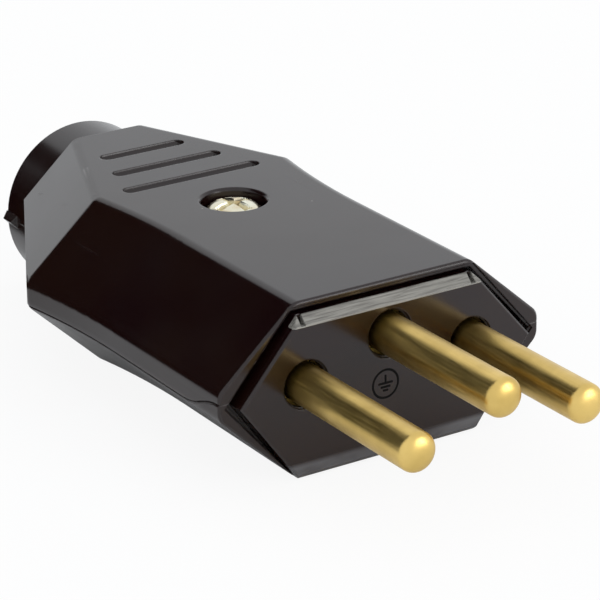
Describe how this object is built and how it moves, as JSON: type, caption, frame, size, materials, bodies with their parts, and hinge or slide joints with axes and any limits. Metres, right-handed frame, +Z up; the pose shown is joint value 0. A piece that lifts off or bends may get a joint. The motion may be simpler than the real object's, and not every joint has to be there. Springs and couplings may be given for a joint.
{
  "type": "three-pin plug",
  "caption": "Flat hexagonal rewireable plug with three round brass pins, a centre screw, grip grooves and a round cord inlet.",
  "frame": {"origin": "on the engagement face, midway between the line and neutral pins", "axes": "+Z up out of the flat top with the grip grooves, +Y towards the cord inlet, pins along -Y"},
  "size_m": [0.0396, 0.0805, 0.018],
  "materials": {
    "housing_plastic": "gloss moulded",
    "clamp_plastic": "satin moulded",
    "pin_brass": "turned",
    "screw_steel": "yellow zinc plated"
  },
  "bodies": {
    "root": {"base_shell": "housing_plastic", "top_cover": "housing_plastic", "line_pin": "pin_brass", "neutral_pin": "pin_brass", "earth_pin": "pin_brass", "line_terminal_screw": "screw_steel", "neutral_terminal_screw": "screw_steel", "earth_terminal_screw": "screw_steel", "cord_clamp": "clamp_plastic", "cord_clamp_screw_left": "screw_steel", "cord_clamp_screw_right": "screw_steel", "housing_screw": "screw_steel", "housing_nut": "screw_steel"}
  },
  "joints": []
}
